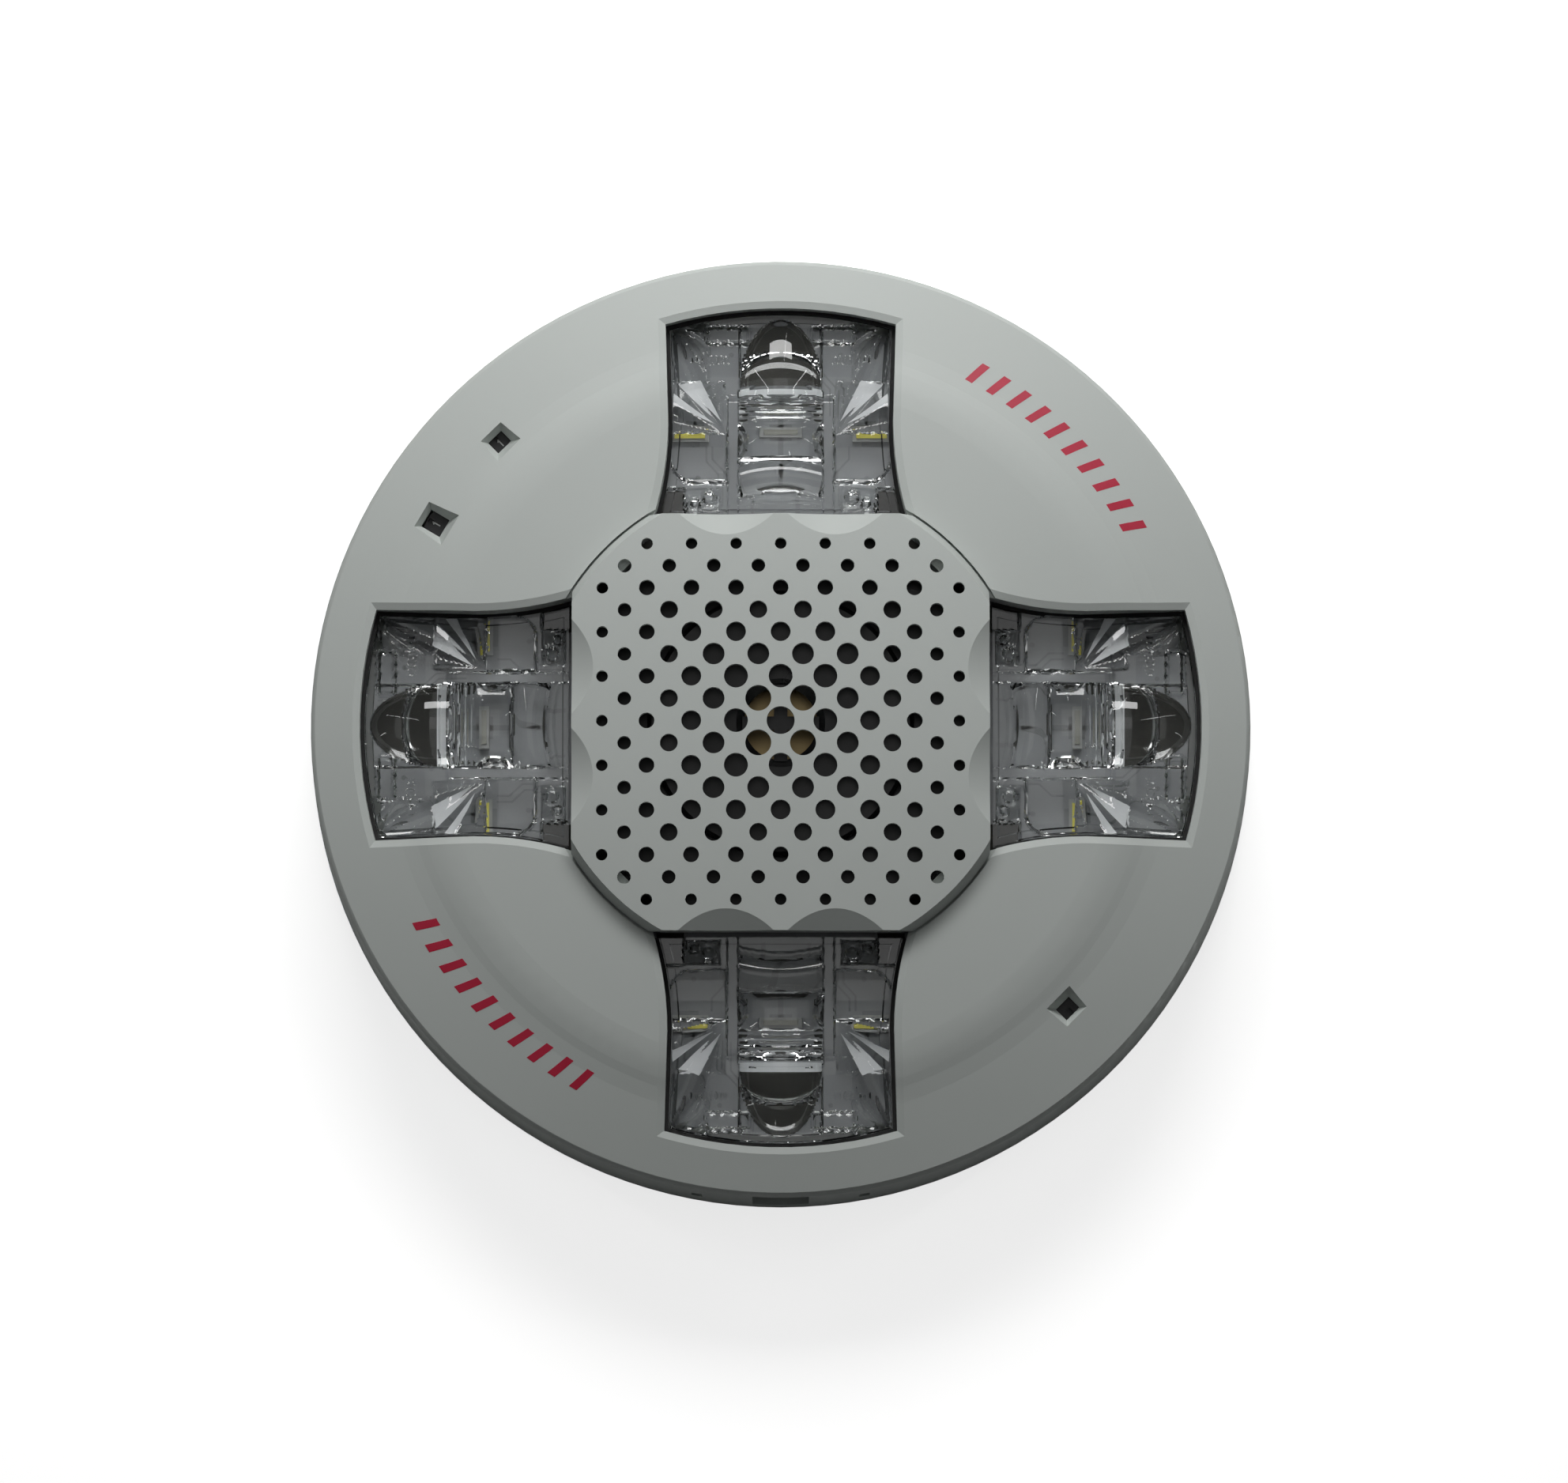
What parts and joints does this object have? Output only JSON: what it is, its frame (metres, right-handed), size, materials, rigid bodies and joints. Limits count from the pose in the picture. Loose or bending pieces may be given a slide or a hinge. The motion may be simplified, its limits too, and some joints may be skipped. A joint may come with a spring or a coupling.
{
  "type": "horn strobe",
  "caption": "Round ceiling horn strobe: clear strobe lenses around a perforated sounder grille, on a twist-lock wiring plate with a release latch.",
  "frame": {"origin": "centre of the back plane, where the plate meets the ceiling or box", "axes": "+Z out of the face along the head's axis, +Y away from the release slot"},
  "size_m": [0.1728, 0.1728, 0.034],
  "materials": {
    "housing_white": "fine matt texture, off-white flame-retardant plastic",
    "grille_white": "fine matt texture, off-white flame-retardant plastic",
    "clear_lens": "clear polycarbonate, polished",
    "board_white": "white solder mask over glass-fibre board",
    "led_ceramic": "white ceramic package",
    "phosphor": "yellow phosphor, satin",
    "black_moulding": "black moulded plastic",
    "foam": "closed-cell foam, matt",
    "component_black": "black epoxy component body",
    "capacitor_sleeve": "dark shrink sleeve",
    "resistor": "chip component",
    "brass_disc": "thin rolled brass, satin",
    "ceramic_disc": "silvered ceramic",
    "lead_wire": "insulated wire",
    "screw_steel": "zinc-plated steel",
    "contact_metal": "plated spring brass",
    "base_plastic": "off-white moulded plastic",
    "terminal_black": "black moulded terminal block",
    "latch_plastic": "off-white acetal",
    "spring_steel": "bright spring steel",
    "dial_plastic": "black dial with pale numbers"
  },
  "bodies": {
    "base": {"mounting_plate": "base_plastic", "terminal_block": "terminal_black", "terminal_clamps": "screw_steel", "contact_blades": "contact_metal", "latch_spring": "spring_steel", "latch_keeper": "base_plastic", "keeper_screws": "screw_steel"},
    "head": {"front_cover": "housing_white", "grille": "grille_white", "grille_pads": "foam", "lens_seals": "foam", "main_board": "board_white", "led_packages": "led_ceramic", "led_phosphors": "phosphor", "storage_capacitors": "capacitor_sleeve", "power_inductor": "component_black", "control_chips": "component_black", "chip_resistors": "resistor", "lead_connector": "black_moulding", "horn_body": "black_moulding", "piezo_disc": "brass_disc", "piezo_ceramic": "ceramic_disc", "horn_retainer": "black_moulding", "horn_baffle": "black_moulding", "horn_leads": "lead_wire", "rear_cover": "base_plastic", "cover_screws": "screw_steel", "board_screws": "screw_steel", "horn_screws": "screw_steel", "contact_springs": "contact_metal", "switch_housings": "component_black", "lens_top": "clear_lens", "lens_right": "clear_lens", "lens_bottom": "clear_lens", "lens_left": "clear_lens"},
    "latch": {"release_latch": "latch_plastic"},
    "tone_selector": {"tone_dial": "dial_plastic"},
    "candela_selector": {"candela_dial": "dial_plastic"},
    "volume_selector": {"volume_dial": "dial_plastic"},
    "terminal_screw_1": {"terminal_screw_1": "screw_steel"},
    "terminal_screw_2": {"terminal_screw_2": "screw_steel"},
    "terminal_screw_3": {"terminal_screw_3": "screw_steel"},
    "terminal_screw_4": {"terminal_screw_4": "screw_steel"}
  },
  "joints": [
    {"name": "head_twist", "type": "hinge", "parent": "base", "child": "head", "pos_m": [0, 0, 0.0047], "axis": [0, 0, 1], "range_deg": [0, 20]},
    {"name": "latch_slide", "type": "slide", "parent": "base", "child": "latch", "axis": [0, 1, 0], "range_m": [0, 0.002], "deforming": ["latch_spring"]},
    {"name": "tone_turn", "type": "hinge", "parent": "head", "child": "tone_selector", "pos_m": [-0.04732, 0.04799, 0.0207], "axis": [0, 0, 1], "range_deg": [-45, 270]},
    {"name": "candela_turn", "type": "hinge", "parent": "head", "child": "candela_selector", "pos_m": [-0.05807, 0.03421, 0.0207], "axis": [0, 0, 1], "range_deg": [-45, 270]},
    {"name": "volume_turn", "type": "hinge", "parent": "head", "child": "volume_selector", "pos_m": [0.04791, -0.04741, 0.0207], "axis": [0, 0, 1], "range_deg": [-30, 90]},
    {"name": "terminal_screw_1_turn", "type": "hinge", "parent": "base", "child": "terminal_screw_1", "pos_m": [-0.015, 0.026, 0.0106], "axis": [0, 0, 1], "range_deg": [0, 720]},
    {"name": "terminal_screw_2_turn", "type": "hinge", "parent": "base", "child": "terminal_screw_2", "pos_m": [-0.005, 0.026, 0.0106], "axis": [0, 0, 1], "range_deg": [0, 720]},
    {"name": "terminal_screw_3_turn", "type": "hinge", "parent": "base", "child": "terminal_screw_3", "pos_m": [0.005, 0.026, 0.0106], "axis": [0, 0, 1], "range_deg": [0, 720]},
    {"name": "terminal_screw_4_turn", "type": "hinge", "parent": "base", "child": "terminal_screw_4", "pos_m": [0.015, 0.026, 0.0106], "axis": [0, 0, 1], "range_deg": [0, 720]}
  ],
  "couplings": [
    {"joint": "latch_slide", "follows": "head_twist", "m_per_rad": 0.0057296}
  ]
}
